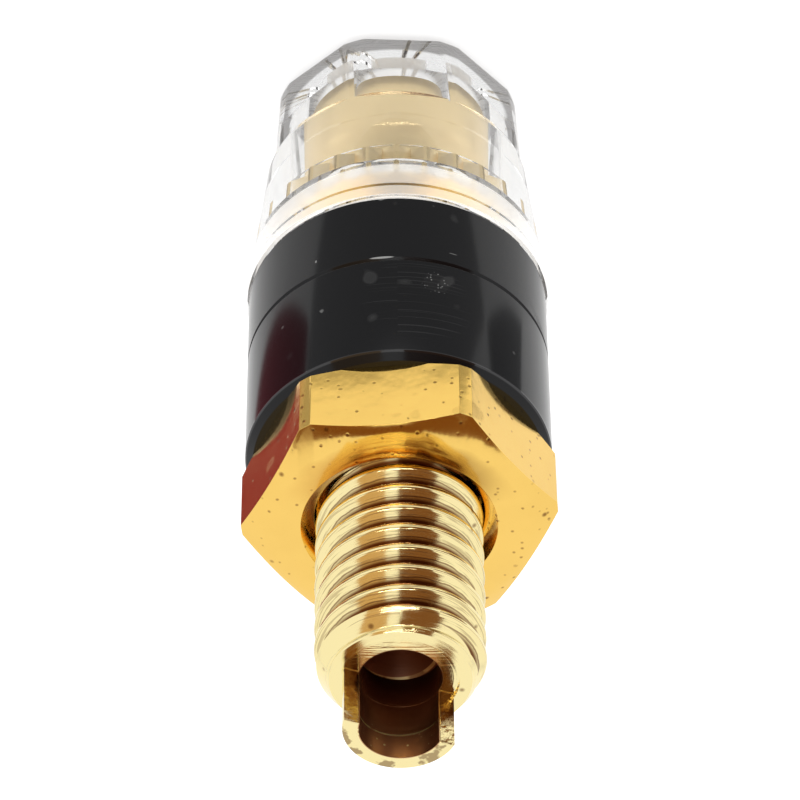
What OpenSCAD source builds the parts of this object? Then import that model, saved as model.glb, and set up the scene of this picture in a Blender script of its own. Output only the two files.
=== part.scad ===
// Panel binding post: a turned brass post with a milled solder cup, a hex nut,
// two insulating collars and a clear knob pressed onto a threaded brass insert.
// It stands on the knob's front face, and its axis is Z.

/* [Post] */
// Outside diameter of the rear stud's thread
stud_d = 7.75; // [6.5:0.05:9]
// Pitch of the rear stud's thread
stud_pitch = 1.25; // [0.8:0.05:1.5]
// Depth of that thread
stud_thread_depth = 0.62; // [0.4:0.02:0.7]
// Length of stud that stands out behind the nut
stud_out_l = 9.45; // [6:0.05:16]
// Diameter of the stud's flat end face
stud_end_d = 6.4; // [6:0.1:7]
// Length of the chamfer at the stud's end
stud_chamfer_l = 0.95; // [0.3:0.05:1.5]
// Outside diameter of the front stem's thread
stem_d = 5.9; // [5:0.05:6.5]
// Pitch of the front stem's thread
stem_pitch = 1; // [0.5:0.05:1.25]
// Distance from the stem's end to the knob's front face
stem_recess = 2.3; // [1:0.1:4]
// Diameter of the collar that holds the post in the front insulator
collar_d = 9.8; // [9:0.1:11]
// Thickness of that collar
collar_t = 1.2; // [0.6:0.1:2]
// Diameter of the plug socket in the stem
socket_d = 4; // [3.5:0.05:4.2]
// Depth of the plug socket
socket_l = 19; // [12:0.5:22]
// Diameter of the cross hole for a bare wire
wire_hole_d = 2.6; // [1:0.1:3]

/* [Solder cup] */
// Outside diameter of the cup
cup_d = 5.2; // [4.6:0.05:6]
// Inside diameter of the cup
cup_bore_d = 3.74; // [3:0.02:4]
// Length of cup that stands out of the stud
cup_l = 2.9; // [2:0.05:8]
// Depth of the drilled bore below the stud's end face
cup_bore_depth = 1.75; // [0.8:0.05:6]
// Turn of the milled opening about the axis
cup_cut_angle = -20; // [-90:1:90]
// Distance of the milled opening's floor below the axis
cup_cut_drop = 0.2; // [0:0.05:0.8]
// Depth that the milling goes into the stud's end face
cup_cut_in = 0.15; // [0.05:0.05:0.5]

/* [Nut] */
// Width of the nut across its flats
nut_af = 13; // [12:0.1:15]
// Thickness of the nut
nut_t = 4; // [3:0.1:7]
// How far the nut's corners are turned down from sharp
nut_corner_cut = 0.175; // [0.05:0.005:0.4]
// Distance from the turned corners to the flat of the rear face
nut_face_inset = 1.33; // [0.8:0.01:1.6]
// Distance from the turned corners to the flat of the front face
nut_seat_inset = 0.58; // [0.3:0.01:1]
// Diameter of the countersinks
nut_sink_d = 9.1; // [8.6:0.1:10]
// Turn of the nut at rest
nut_turn = 5.4; // [0:0.1:60]

/* [Insulators] */
// How far both insulators stay inside the nut's corners
insulator_inset = 0.155; // [0.05:0.005:0.4]
// Thickness of the front insulator
front_insulator_t = 4.3; // [3:0.1:8]
// Thickness of the rear insulator
rear_insulator_t = 6.5; // [4.5:0.1:10]
// Chamfer at the rear insulator's rear edge
rear_edge = 0.35; // [0.1:0.05:0.6]
// Small chamfer on the insulators' other edges
edge = 0.12; // [0.05:0.01:0.3]
// Diameter of the boss that goes through the panel
boss_d = 10.4; // [10:0.1:11.5]
// Length of that boss
boss_l = 2.2; // [1:0.1:3]
// Width of the key on the boss
key_w = 1.2; // [0.8:0.1:2]
// Height of the key above the boss
key_h = 0.8; // [0.4:0.1:1]

/* [Knob] */
// Length of the knob
knob_l = 13.6; // [12.5:0.1:18]
// How far the knob's rim stands out beyond the insulators
rim_over = 0.095; // [0.05:0.005:0.4]
// Length of the cylindrical band at the rim
rim_l = 1.2; // [0.6:0.1:2]
// Diameter of the knob where the skirt's cone starts
shoulder_d = 12.96; // [12.4:0.02:14]
// Distance from the knob's front face to that place
shoulder_l = 5.4; // [5.2:0.1:8]
// Diameter of the knob at its front
nose_d = 12.3; // [11.9:0.05:13]
// Width of the knob across two flats at the front
flat_af = 11.7; // [11:0.05:12]
// Draft of the flats
flat_draft = 2; // [0:0.25:4]
// Length of the flats
flat_l = 5.1; // [3:0.1:6]
// Number of flats
flat_count = 8; // [6:1:12]
// Chamfer around the knob's front face
nose_chamfer = 0.5; // [0.2:0.05:0.8]
// Turn of the flats at rest
flat_turn = -3; // [-45:0.5:45]
// Diameter of the hole in the knob's front face
nose_hole_d = 5.2; // [4.6:0.1:6]
// Thickness of the wall around that hole
nose_t = 2; // [1:0.1:3]
// Diameter of the chamber around the insert
chamber_d = 9.3; // [8.6:0.1:9.5]
// Diameter of the recess in the knob's rear face
recess_d = 11.6; // [10.6:0.1:12.4]
// Depth of that recess
recess_l = 3.5; // [2.8:0.1:5]

/* [Insert] */
// Outside diameter of the insert's body
insert_d = 8.2; // [7.6:0.1:8.4]
// Diameter over the insert's knurl
knurl_d = 9.6; // [9.2:0.1:10]
// Length of the knurl
knurl_l = 1.65; // [1:0.05:3]
// Number of teeth on the knurl
knurl_count = 24; // [16:1:32]
// Depth of the knurl's teeth
knurl_depth = 0.4; // [0.2:0.05:0.6]

/* [Fits] */
// Radial clearance of the threads over their crests
thread_gap = 0.05; // [0.02:0.01:0.1]
// Radial clearance of the stud in the insulators
stud_gap = 0.075; // [0.05:0.005:0.15]
// Clearance of the collar and of the panel boss in their seats
seat_gap = 0.15; // [0.05:0.01:0.2]
// Radial clearance between the insert's knurl and the knob
knurl_gap = 0.05; // [0.02:0.01:0.1]

/* [Hidden] */
$fn = 96;
// Overlap of cutting bodies with the faces that they cut
eps = 0.1;
// Overlap of two bodies of one piece that meet on a face
weld = 0.001;
// Half angle of a drill's point
drill_half_angle = 59;
// Slope of a nut's chamfers
nut_chamfer_angle = 30;
nut_sides = 6;
// Flat at a thread's crest and at its root, as a share of the pitch
thread_flat = 1 / 8;
// Heights of the faces where the pieces meet
front_z = knob_l;
seam_z = front_z + front_insulator_t;
nut_z = seam_z + rear_insulator_t;
nut_top_z = nut_z + nut_t;
stud_end_z = nut_top_z + stud_out_l;
cup_end_z = stud_end_z + cup_l;
// Diameters that follow the nut's corners
nut_corner_d = nut_af / cos(180 / nut_sides) - 2 * nut_corner_cut;
insulator_d = nut_corner_d - 2 * insulator_inset;
rim_d = insulator_d + 2 * rim_over;
// Places along the knob
recess_z = knob_l - recess_l;
knurl_z = recess_z - knurl_l;
stem_z = stem_recess;
wire_hole_z = (recess_z + front_z) / 2;
// Distance from the axis to the top of the key
key_r = boss_d / 2 + key_h;

// Drilled hole of diameter d that runs upwards from z for l, with the point of the drill above it
module drilled_up(d, l) {
    translate([0, 0, -eps]) cylinder(d = d, h = l + eps);
    translate([0, 0, l - weld])
        cylinder(d1 = d, d2 = 0, h = d / 2 / tan(drill_half_angle));
}

// The half of space above the milled floor of the solder cup, as a block over the cup
module cup_opening() {
    over_d = cup_d + 2 * eps;
    intersection() {
        cylinder(d = over_d, h = cup_l + cup_cut_in + eps);
        rotate([0, 0, cup_cut_angle])
            translate([-over_d, -cup_cut_drop, 0])
                cube([2 * over_d, over_d, cup_l + cup_cut_in + 2 * eps]);
    }
}

// Outline of a thread drawn as V grooves one pitch apart, as many as fit from low up to high
function grooves(d, depth, pitch, low, high) = let (
    half = pitch * thread_flat / 2,
    count = floor((high - low) / pitch)
) [for (i = [count : -1 : 1]) let (z = high - i * pitch) each [
    [d / 2, z + half],
    [d / 2 - depth, z + pitch / 2 - half],
    [d / 2 - depth, z + pitch / 2 + half],
    [d / 2, z + pitch - half],
]];

module post_turned() {
    groove_low = front_z + collar_t;
    groove_high = stud_end_z - stud_chamfer_l;
    rotate_extrude() polygon([
        [0, stem_z],
        [stem_d / 2 - stem_pitch / 2, stem_z],
        [stem_d / 2, stem_z + stem_pitch / 2],
        [stem_d / 2, front_z],
        [collar_d / 2, front_z],
        [collar_d / 2, front_z + collar_t],
        [stud_d / 2, groove_low],
        each grooves(stud_d, stud_thread_depth, stud_pitch, groove_low, groove_high),
        [stud_d / 2, groove_high],
        [stud_end_d / 2, stud_end_z],
        [cup_d / 2, stud_end_z],
        [cup_d / 2, cup_end_z],
        [0, cup_end_z],
    ]);
}

module post() {
    color("gold") difference() {
        post_turned();
        translate([0, 0, stem_z]) drilled_up(socket_d, socket_l);
        translate([0, 0, wire_hole_z]) rotate([90, 0, 0])
            cylinder(d = wire_hole_d, h = collar_d, center = true);
        translate([0, 0, cup_end_z]) mirror([0, 0, 1])
            drilled_up(cup_bore_d, cup_l + cup_bore_depth);
        translate([0, 0, stud_end_z - cup_cut_in]) cup_opening();
    }
}

// Outline of the nut's chamfered body, from its seat up
module nut_profile() {
    corner_r = nut_corner_d / 2;
    seat_drop = nut_seat_inset * tan(nut_chamfer_angle);
    face_drop = nut_face_inset * tan(nut_chamfer_angle);
    bore_r = stud_d / 2 + thread_gap;
    sink = nut_sink_d / 2 - bore_r;
    polygon([
        [bore_r, sink],
        [bore_r + sink, 0],
        [corner_r - nut_seat_inset, 0],
        [corner_r, seat_drop],
        [corner_r, nut_t - face_drop],
        [corner_r - nut_face_inset, nut_t],
        [bore_r + sink, nut_t],
        [bore_r, nut_t - sink],
    ]);
}

module nut() {
    color("goldenrod") translate([0, 0, nut_z]) rotate([0, 0, nut_turn])
        intersection() {
            rotate_extrude() nut_profile();
            translate([0, 0, -eps]) linear_extrude(nut_t + 2 * eps)
                circle(d = nut_af / cos(180 / nut_sides), $fn = nut_sides);
        }
}

// Cylinder with its two end edges chamfered by low and high
module collar_blank(d, h, low, high) {
    rotate_extrude() polygon([
        [0, 0],
        [d / 2 - low, 0],
        [d / 2, low],
        [d / 2, h - high],
        [d / 2 - high, h],
        [0, h],
    ]);
}

// Boss with its key, grown by gap on every side
module keyed_boss(l, gap) {
    cylinder(d = boss_d + 2 * gap, h = l);
    translate([0, -key_w / 2 - gap, 0]) cube([key_r + gap, key_w + 2 * gap, l]);
}

module front_insulator() {
    color("dimgray") translate([0, 0, front_z]) difference() {
        union() {
            collar_blank(insulator_d, front_insulator_t, edge, edge);
            translate([0, 0, front_insulator_t - eps]) keyed_boss(boss_l + eps, 0);
        }
        translate([0, 0, -eps]) cylinder(d = collar_d + 2 * seat_gap, h = collar_t + eps);
        cylinder(d = stud_d + 2 * stud_gap, h = front_insulator_t + boss_l + eps);
    }
}

module rear_insulator() {
    color("dimgray") translate([0, 0, seam_z]) difference() {
        collar_blank(insulator_d, rear_insulator_t, edge, rear_edge);
        translate([0, 0, -eps]) keyed_boss(boss_l + seat_gap + eps, seat_gap);
        cylinder(d = stud_d + 2 * stud_gap, h = rear_insulator_t + eps);
    }
}

// Outside of the knob before its flats are cut
module knob_blank() {
    rotate_extrude() polygon([
        [0, 0],
        [nose_d / 2 - nose_chamfer, 0],
        [nose_d / 2, nose_chamfer],
        [shoulder_d / 2, shoulder_l],
        [rim_d / 2, knob_l - rim_l],
        [rim_d / 2, knob_l - edge],
        [rim_d / 2 - edge, knob_l],
        [0, knob_l],
    ]);
}

// What is cut away above one flat, with the same chamfer at the front as the knob
module flat_cut() {
    front_r = flat_af / 2;
    rear_r = front_r + flat_l * tan(flat_draft);
    rotate([90, 0, 90]) linear_extrude(rim_d, center = true) polygon([
        [front_r - nose_chamfer - eps, -eps],
        [front_r + nose_chamfer * tan(flat_draft), nose_chamfer],
        [rear_r, flat_l],
        [rim_d, flat_l],
        [rim_d, -eps],
    ]);
}

module knob_shell() {
    color([0.9, 0.93, 0.95, 0.4]) difference() {
        knob_blank();
        for (i = [0 : flat_count - 1]) rotate([0, 0, flat_turn + i * 360 / flat_count]) flat_cut();
        translate([0, 0, -eps]) cylinder(d = nose_hole_d, h = nose_t + 2 * eps);
        translate([0, 0, nose_t]) cylinder(d = chamber_d, h = knob_l);
        translate([0, 0, knurl_z]) cylinder(d = knurl_d + 2 * knurl_gap, h = knob_l);
        translate([0, 0, recess_z]) cylinder(d = recess_d, h = knob_l);
    }
}

// Outline of the knurl, tooth tips and the roots between them in turn
module knurl_outline() {
    tip_r = knurl_d / 2;
    root_r = tip_r - knurl_depth;
    step = 360 / knurl_count;
    polygon([for (i = [0 : knurl_count - 1]) each [
        [tip_r * cos(i * step), tip_r * sin(i * step)],
        [root_r * cos((i + 0.5) * step), root_r * sin((i + 0.5) * step)],
    ]]);
}

module knob_insert() {
    color("darkgoldenrod") difference() {
        union() {
            translate([0, 0, nose_t]) cylinder(d = insert_d, h = recess_z - nose_t);
            translate([0, 0, knurl_z]) linear_extrude(knurl_l) knurl_outline();
        }
        translate([0, 0, nose_t - eps])
            cylinder(d = stem_d + 2 * thread_gap, h = recess_z - nose_t + 2 * eps);
    }
}

post();
nut();
rear_insulator();
front_insulator();
knob_shell();
knob_insert();
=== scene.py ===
import math

import bmesh
import bpy
from mathutils import Matrix, Vector


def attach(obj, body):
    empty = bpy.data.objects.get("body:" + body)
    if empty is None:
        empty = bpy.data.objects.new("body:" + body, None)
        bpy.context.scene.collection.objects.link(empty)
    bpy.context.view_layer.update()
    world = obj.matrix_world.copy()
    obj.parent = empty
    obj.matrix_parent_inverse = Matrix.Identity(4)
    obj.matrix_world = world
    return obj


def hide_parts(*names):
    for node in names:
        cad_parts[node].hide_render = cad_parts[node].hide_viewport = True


bl_info = {
    "name": "Binding post",
    "version": (1, 0, 0),
    "blender": (4, 5, 0),
    "location": "View3D > Sidebar > Binding post",
    "description": "Gold-plated binding post with its nut, insulators and clear knob",
    "category": "Add Mesh",
}

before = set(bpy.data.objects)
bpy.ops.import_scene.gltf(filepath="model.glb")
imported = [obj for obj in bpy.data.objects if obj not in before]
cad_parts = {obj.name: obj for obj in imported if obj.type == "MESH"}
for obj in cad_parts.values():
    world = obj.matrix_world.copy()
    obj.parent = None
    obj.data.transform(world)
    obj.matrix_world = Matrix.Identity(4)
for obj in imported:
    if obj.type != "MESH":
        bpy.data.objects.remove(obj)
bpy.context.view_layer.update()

MM = 0.001
SEGMENTS = 160
SAME_POINT = 2e-4 * MM
SAME_HEIGHT = 1e-3 * MM
CUT_EXACTLY = 1e-6 * MM
MOULDED_EDGE = 0.04 * MM
POLISHED_EDGE = 0.05 * MM
DRILL_SLOPE = math.tan(math.radians(31))
CARD_LIFT = 0.0005
CURTAIN_R = 0.40
AIM = (0, 0, 0.025)


def length(label, text, default):
    """A length in metres, given here in millimetres."""
    return bpy.props.FloatProperty(
        name=label, description=text, default=default * MM, min=0, unit="LENGTH", precision=5
    )


def angle(label, text, default):
    """An angle, given here in degrees."""
    return bpy.props.FloatProperty(
        name=label, description=text, default=math.radians(default), subtype="ANGLE"
    )


def count(label, text, default, low, high):
    return bpy.props.IntProperty(name=label, description=text, default=default, min=low, max=high)


def colour(label, text, *default):
    return bpy.props.FloatVectorProperty(
        name=label, description=text, default=(*default, 1), size=4, min=0, max=1, subtype="COLOR"
    )


def share(label, text, default):
    return bpy.props.FloatProperty(
        name=label, description=text, default=default, min=0, max=1, subtype="FACTOR"
    )


# ---- settings


class PostSettings(bpy.types.PropertyGroup):
    stud_d: length("Stud diameter", "Outside diameter of the rear stud's thread", 7.75)
    stud_root_d: length("Stud root diameter", "Diameter at the bottom of the stud's thread", 6.5)
    stud_pitch: length("Stud pitch", "Pitch of the stud's thread", 1.25)
    groove_z: length("Groove height", "Height of a thread groove on the cup's open side", 28.83)
    crest_w: length("Crest width", "Flat at the top of the stud's thread", 0.3)
    root_w: length("Root width", "Flat at the bottom of the stud's thread", 0.22)
    stem_d: length("Stem diameter", "Outside diameter of the front stem's thread", 5.9)
    stem_root_d: length("Stem root diameter", "Diameter at the bottom of the stem's thread", 4.9)
    stem_pitch: length("Stem pitch", "Pitch of the stem's thread", 1.0)
    stem_z: length("Stem end", "Height of the front stem's end", 2.3)
    collar_d: length("Collar diameter", "Diameter of the collar between stud and stem", 9.8)
    collar_z: length("Collar height", "Height of the collar's lower face", 13.6)
    collar_t: length("Collar thickness", "Thickness of that collar", 1.2)
    stud_end_z: length("Stud end", "Height of the stud's end face", 37.85)
    stud_end_d: length("Stud end diameter", "Diameter of the stud's end face", 6.4)
    stud_chamfer: length("Stud chamfer", "Length of the chamfer at the stud's end", 0.95)
    socket_d: length("Socket diameter", "Diameter of the plug socket", 4.0)
    socket_l: length("Socket depth", "Depth of the plug socket", 19.0)
    wire_hole_d: length("Wire hole", "Diameter of the cross hole in the stem", 2.6)
    wire_hole_z: length("Wire hole height", "Height of the cross hole", 11.85)
    cup_d: length("Cup diameter", "Outside diameter of the solder cup", 5.2)
    cup_bore_d: length("Cup bore", "Inside diameter of the solder cup", 3.74)
    cup_z: length("Cup end", "Height of the solder cup's end", 40.75)
    cup_bore_z: length("Cup bore bottom", "Height at which the cup's bore ends", 36.1)
    cup_cut_in: length("Milling depth", "How far the milling goes into the stud's end face", 0.15)
    cup_cut_drop: length("Milling drop", "How far the milled floor lies below the axis", 0.2)
    cup_cut_turn: angle("Milling turn", "Turn of the milled opening about the axis", -20)


class NutSettings(bpy.types.PropertyGroup):
    across_flats: length("Across flats", "Width of the nut across two flats", 13.0)
    low_z: length("Seat height", "Height of the nut's lower face", 24.4)
    thickness: length("Thickness", "Thickness of the nut", 4.0)
    seat_d: length("Seat diameter", "Diameter of the lower face inside its chamfer", 13.5)
    face_d: length("Face diameter", "Diameter of the upper face inside its chamfer", 12.0)
    corner_d: length("Corner diameter", "Diameter over the rounded corners", 14.66)
    sink_d: length("Countersink", "Diameter of the countersinks", 9.1)
    bore_d: length("Bore", "Diameter inside the thread", 7.85)
    chamfer: angle("Chamfer", "Slope of the nut's chamfers", 24)
    turn: angle("Turn", "Turn of the nut at rest", 5.4)
    edge_r: length("Edge radius", "Rounding of the nut's edges by the plating and handling", 0.07)


class InsulatorSettings(bpy.types.PropertyGroup):
    diameter: length("Diameter", "Outside diameter of both insulators", 14.35)
    front_z: length("Front face", "Height of the front insulator's lower face", 13.6)
    seam_z: length("Seam", "Height at which the two insulators meet", 17.9)
    rear_z: length("Rear face", "Height of the rear insulator's upper face", 24.4)
    edge: length("Edge", "Small chamfer at the seam and at the front", 0.12)
    rear_edge: length("Rear edge", "Chamfer at the rear insulator's rear edge", 0.35)
    bore_d: length("Bore", "Diameter of the hole for the stud", 7.9)
    seat_d: length("Collar seat", "Diameter of the seat for the post's collar", 10.1)
    seat_l: length("Collar seat depth", "Depth of that seat", 1.2)
    boss_d: length("Boss diameter", "Diameter of the boss that goes through the panel", 10.4)
    boss_l: length("Boss length", "Length of that boss", 2.2)
    gap: length("Boss gap", "Clearance round the boss", 0.15)
    key_w: length("Key width", "Width of the key on the boss", 1.2)
    key_h: length("Key height", "Height of the key above the boss", 0.8)


class KnobSettings(bpy.types.PropertyGroup):
    knob_l: length("Knob length", "Length of the clear knob", 13.6)
    rim_d: length("Rim diameter", "Diameter of the knob at its rim", 14.54)
    rim_l: length("Rim length", "Length of the cylindrical band at the rim", 1.2)
    shoulder_d: length("Shoulder diameter", "Diameter where the skirt's cone starts", 12.96)
    shoulder_l: length("Shoulder distance", "Distance from the front face to that place", 5.4)
    nose_d: length("Nose diameter", "Diameter of the knob at its front", 12.3)
    nose_chamfer: length("Nose chamfer", "Chamfer around the front face", 0.5)
    flat_af: length("Across flats", "Width across two flats at the front", 11.7)
    flat_l: length("Flat length", "Length of the flats", 5.1)
    flat_draft: angle("Flat draft", "Draft of the flats", 2)
    flat_count: count("Flats", "Number of flats on the knob", 8, 6, 12)
    flat_turn: angle("Flat turn", "Turn of the flats at rest", -3)
    nose_hole_d: length("Nose hole", "Diameter of the hole in the front face", 5.2)
    nose_t: length("Nose wall", "Thickness of the wall around that hole", 2.0)
    chamber_d: length("Chamber", "Diameter of the chamber around the insert", 9.3)
    knurl_seat_d: length("Knurl seat", "Diameter of the seat that the knurl bites into", 9.44)
    recess_d: length("Recess", "Diameter of the recess in the rear face", 11.6)
    recess_z: length("Recess height", "Height of the recess's bottom", 10.1)
    insert_d: length("Insert diameter", "Outside diameter of the insert's body", 8.2)
    insert_bore_d: length("Insert bore", "Diameter inside the insert's thread", 6.0)
    knurl_d: length("Knurl diameter", "Diameter over the insert's knurl", 9.6)
    knurl_root_d: length("Knurl root", "Diameter at the bottom of the knurl's teeth", 8.8)
    knurl_z: length("Knurl height", "Height at which the knurl starts", 8.45)
    knurl_count: count("Knurl teeth", "Number of teeth on the insert's knurl", 24, 16, 40)


class FinishSettings(bpy.types.PropertyGroup):
    gold: colour("Gold", "Pale gold plate on the post", 0.96, 0.82, 0.42)
    nut_gold: colour("Nut gold", "Deeper gold plate on the nut", 0.96, 0.63, 0.16)
    nut_patch: colour("Nut patch", "Gold of soft patches on the nut", 0.80, 0.50, 0.12)
    # painted reflection of the stud in the nut's face, with painted shade round the stud: brown on
    # its left, darker on its right
    reflection_brown: colour("Nut brown", "Nut round the stud, on its left", 0.50, 0.17, 0.02)
    reflection_dark: colour("Nut dark", "Nut round the stud, on its right", 0.20, 0.07, 0.012)
    insert_gold: colour("Insert gold", "Satin plate on the insert", 0.98, 0.77, 0.42)
    # brown of pits, tool lines and a stain near the cup's end, and painted shade in the thread's
    # grooves and on the milled floor
    tarnish_and_shade: colour("Tarnish", "Dull brown in pits, grooves and cuts", 0.16, 0.055, 0.015)
    # painted shade in the solder cup's bore, darker towards its root
    bore_root_shade: colour("Bore root", "Darker brown at the bore's root", 0.12, 0.055, 0.035)
    bore_shade_brown: colour("Bore brown", "Dark brown inside the solder cup", 0.44, 0.20, 0.09)
    black: colour("Black", "Black moulded plastic", 0.006, 0.006, 0.007)
    # also the colour of a painted glint on the seam
    dust_and_glint: colour("Dust", "Light dust and scuffs on the black plastic", 0.45, 0.45, 0.44)
    clear: colour("Clear", "Tint of the clear plastic", 0.99, 0.99, 0.985)
    # painted contact shadow round the knob's nose
    nose_shadow_tint: colour("Dull clear", "The same, round its worn nose", 0.05, 0.04, 0.035)
    # painted light: the glow of a band round the knob's recess
    recess_glow: colour("Milky", "Skin of the clear knob's recess", 0.50, 0.48, 0.45)


class StageSettings(bpy.types.PropertyGroup):
    floor: colour("Floor", "Pale floor", 0.85, 0.85, 0.85)
    floor_glow: share("Floor glow", "How far the floor is white by itself to the camera", 0.6)
    mirror_glow: share("Mirror glow", "The same, in reflections and clear plastic", 0.30)
    surround: share("Surround", "Brightness of the room on dull surfaces", 0.6)
    brown_card: colour("Brown card", "Card above the part, on the right", 0.20, 0.085, 0.03)
    tan_card: colour("Tan card", "Card above the part, on the left", 0.62, 0.40, 0.20)
    red_card: colour("Red card", "Card on the floor to the left", 0.28, 0.055, 0.07)
    grey_card: colour("Grey card", "Card on the floor to the right", 0.25, 0.25, 0.25)
    front_card: colour("Front card", "Card on the floor in front", 0.42, 0.42, 0.42)
    lens_mm: bpy.props.FloatProperty(
        name="Lens", description="Focal length of the camera in millimetres", default=200.5
    )


# ---- modelling helpers


def only(piece):
    """Select one object alone and make it active."""
    if bpy.context.object and bpy.context.object.mode != "OBJECT":
        bpy.ops.object.mode_set(mode="OBJECT")
    bpy.ops.object.select_all(action="DESELECT")
    piece.select_set(True)
    bpy.context.view_layer.objects.active = piece


def edit_all(piece):
    """Open one object for editing, with its whole mesh selected."""
    only(piece)
    bpy.ops.object.mode_set(mode="EDIT")
    bpy.ops.mesh.select_all(action="SELECT")


def merge_and_close():
    """Merge doubles in the mesh being edited, turn its faces outward and leave it."""
    bpy.ops.mesh.select_all(action="SELECT")
    bpy.ops.mesh.remove_doubles(threshold=SAME_POINT)
    bpy.ops.mesh.normals_make_consistent(inside=False)
    bpy.ops.object.mode_set(mode="OBJECT")


def modify(piece, kind, **settings):
    """Apply one modifier with these settings."""
    only(piece)
    modifier = piece.modifiers.new(kind.title(), kind)
    for name, value in settings.items():
        setattr(modifier, name, value)
    bpy.ops.object.modifier_apply(modifier=modifier.name)
    return piece


def settle(piece, name):
    """Put an object's place into its mesh, and name it."""
    only(piece)
    bpy.ops.object.transform_apply(location=True, rotation=True, scale=True)
    piece.name = name
    piece.data.name = name
    return piece


def turned(name, outline, segments=SEGMENTS, start=0.0, closed=False):
    """Turn an outline of (radius, height) in metres about Z, ring by ring from the bottom up.

    A radius of zero at an end is a point or a flat middle. A closed outline leaves a hole."""
    rings = [p for p in outline if p[0] > 0]
    first_r, first_z = rings[0]
    bpy.ops.mesh.primitive_circle_add(
        vertices=segments, radius=first_r, location=(0, 0, first_z), rotation=(0, 0, start)
    )
    piece = settle(bpy.context.object, name)
    edit_all(piece)
    if outline[0][0] == 0:
        cap(first_z, outline[0][1], keep=True)
    r, z = first_r, first_z
    for next_r, next_z in rings[1:]:
        step_to(r, z, next_r, next_z)
        r, z = next_r, next_z
    if closed:
        step_to(r, z, first_r, first_z)
    elif outline[-1][0] == 0:
        cap(z, outline[-1][1], keep=False)
    merge_and_close()
    return piece


def solid(name, outline, segments=SEGMENTS, start=0.0):
    """Turn an outline into a solid with two flat ends."""
    low, high = (0, outline[0][1]), (0, outline[-1][1])
    return turned(name, [low, *outline, high], segments, start)


def step_to(r, z, next_r, next_z):
    """Extrude the selected ring to the next radius and height."""
    bpy.ops.mesh.extrude_edges_move(TRANSFORM_OT_translate={"value": (0, 0, next_z - z)})
    k = next_r / r
    bpy.ops.transform.resize(value=(k, k, 1), center_override=(0, 0, next_z))


def cap(z, tip_z, keep):
    """Close the selected ring with a flat face, or with a point where the tip lies off it."""
    if abs(tip_z - z) < SAME_HEIGHT:
        bpy.ops.mesh.edge_face_add()
        return
    bpy.ops.mesh.extrude_edges_move(TRANSFORM_OT_translate={"value": (0, 0, tip_z - z)})
    bpy.ops.mesh.merge(type="CENTER")
    if keep:
        mesh = bmesh.from_edit_mesh(bpy.context.object.data)
        for v in mesh.verts:
            v.select = abs(v.co.z - z) < SAME_HEIGHT
        mesh.select_flush_mode()
        bmesh.update_edit_mesh(bpy.context.object.data)


def cut(piece, tool, operation="DIFFERENCE"):
    """Combine a piece with a tool by a Boolean modifier, apply it and take the tool away."""
    # the Boolean leaves gaps in threads this small in metres, so it works in millimetres
    for shape in (piece, tool):
        shape.data.transform(Matrix.Scale(1 / MM, 4))
    modify(piece, "BOOLEAN", operation=operation, solver="EXACT", object=tool)
    bpy.data.objects.remove(tool, do_unlink=True)
    piece.data.transform(Matrix.Scale(MM, 4))


def tidy_mesh(piece, sharp_deg=28):
    """Merge doubles, turn the faces outward and shade smooth by angle."""
    edit_all(piece)
    merge_and_close()
    bpy.ops.object.shade_smooth_by_angle(angle=math.radians(sharp_deg))


def soften(piece, edge_r, sharp_deg):
    """Round a piece's sharp edges, and shade it smooth by angle."""
    tidy_mesh(piece)
    limit = math.radians(25)
    modify(piece, "BEVEL", width=edge_r, segments=2, limit_method="ANGLE", angle_limit=limit)
    tidy_mesh(piece, sharp_deg)


def flatten_shading(piece):
    """Let the large faces set the normals, so that they stay flat beside rounded edges."""
    modify(piece, "WEIGHTED_NORMAL", mode="FACE_AREA", weight=100, keep_sharp=True)


def threaded_rod(name, major_r, root_r, pitch, crest_w, root_w, groove_z, low_z, high_z):
    """A right-handed threaded rod along Z. A groove's middle passes groove_z on the +Y side."""
    ease = (major_r - root_r) * 0.12
    half_root, half_crest = root_w / 2, crest_w / 2
    rise = [
        (root_r, 0),
        (root_r, half_root * 0.7),
        (root_r + ease * 0.5, half_root + ease * 0.25),
        (major_r - ease, pitch / 2 - half_crest - ease * 0.6),
        (major_r - ease * 0.25, pitch / 2 - half_crest * 0.75),
        (major_r, pitch / 2 - half_crest * 0.3),
    ]
    tooth = rise + [(r, pitch - z) for r, z in reversed(rise)]
    # a quarter turn leads from the outline's own side to +Y
    first = groove_z - pitch / 4
    first -= math.ceil((first - low_z) / pitch + 1) * pitch
    turns = math.ceil((high_z - first) / pitch) + 1
    mesh = bmesh.new()
    verts = [mesh.verts.new((r, 0, first + z)) for r, z in tooth]
    for a, b in zip(verts, verts[1:]):
        mesh.edges.new((a, b))
    data = bpy.data.meshes.new(name)
    mesh.to_mesh(data)
    mesh.free()
    piece = bpy.data.objects.new(name, data)
    bpy.context.scene.collection.objects.link(piece)
    wound = {"screw_offset": pitch, "iterations": turns, "steps": SEGMENTS}
    wound.update(render_steps=SEGMENTS, use_merge_vertices=True, merge_threshold=SAME_HEIGHT)
    edit_all(modify(piece, "SCREW", axis="Z", angle=math.tau, **wound))
    bpy.ops.mesh.remove_doubles(threshold=SAME_HEIGHT)
    for height, keep_above in ((low_z, True), (high_z, False)):
        bpy.ops.mesh.select_all(action="SELECT")
        bpy.ops.mesh.bisect(
            plane_co=(0, 0, height), plane_no=(0, 0, 1), use_fill=True, threshold=CUT_EXACTLY,
            clear_inner=keep_above, clear_outer=not keep_above,
        )
    bpy.ops.mesh.select_all(action="SELECT")
    bpy.ops.mesh.normals_make_consistent(inside=False)
    bpy.ops.object.mode_set(mode="OBJECT")
    return piece


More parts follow.
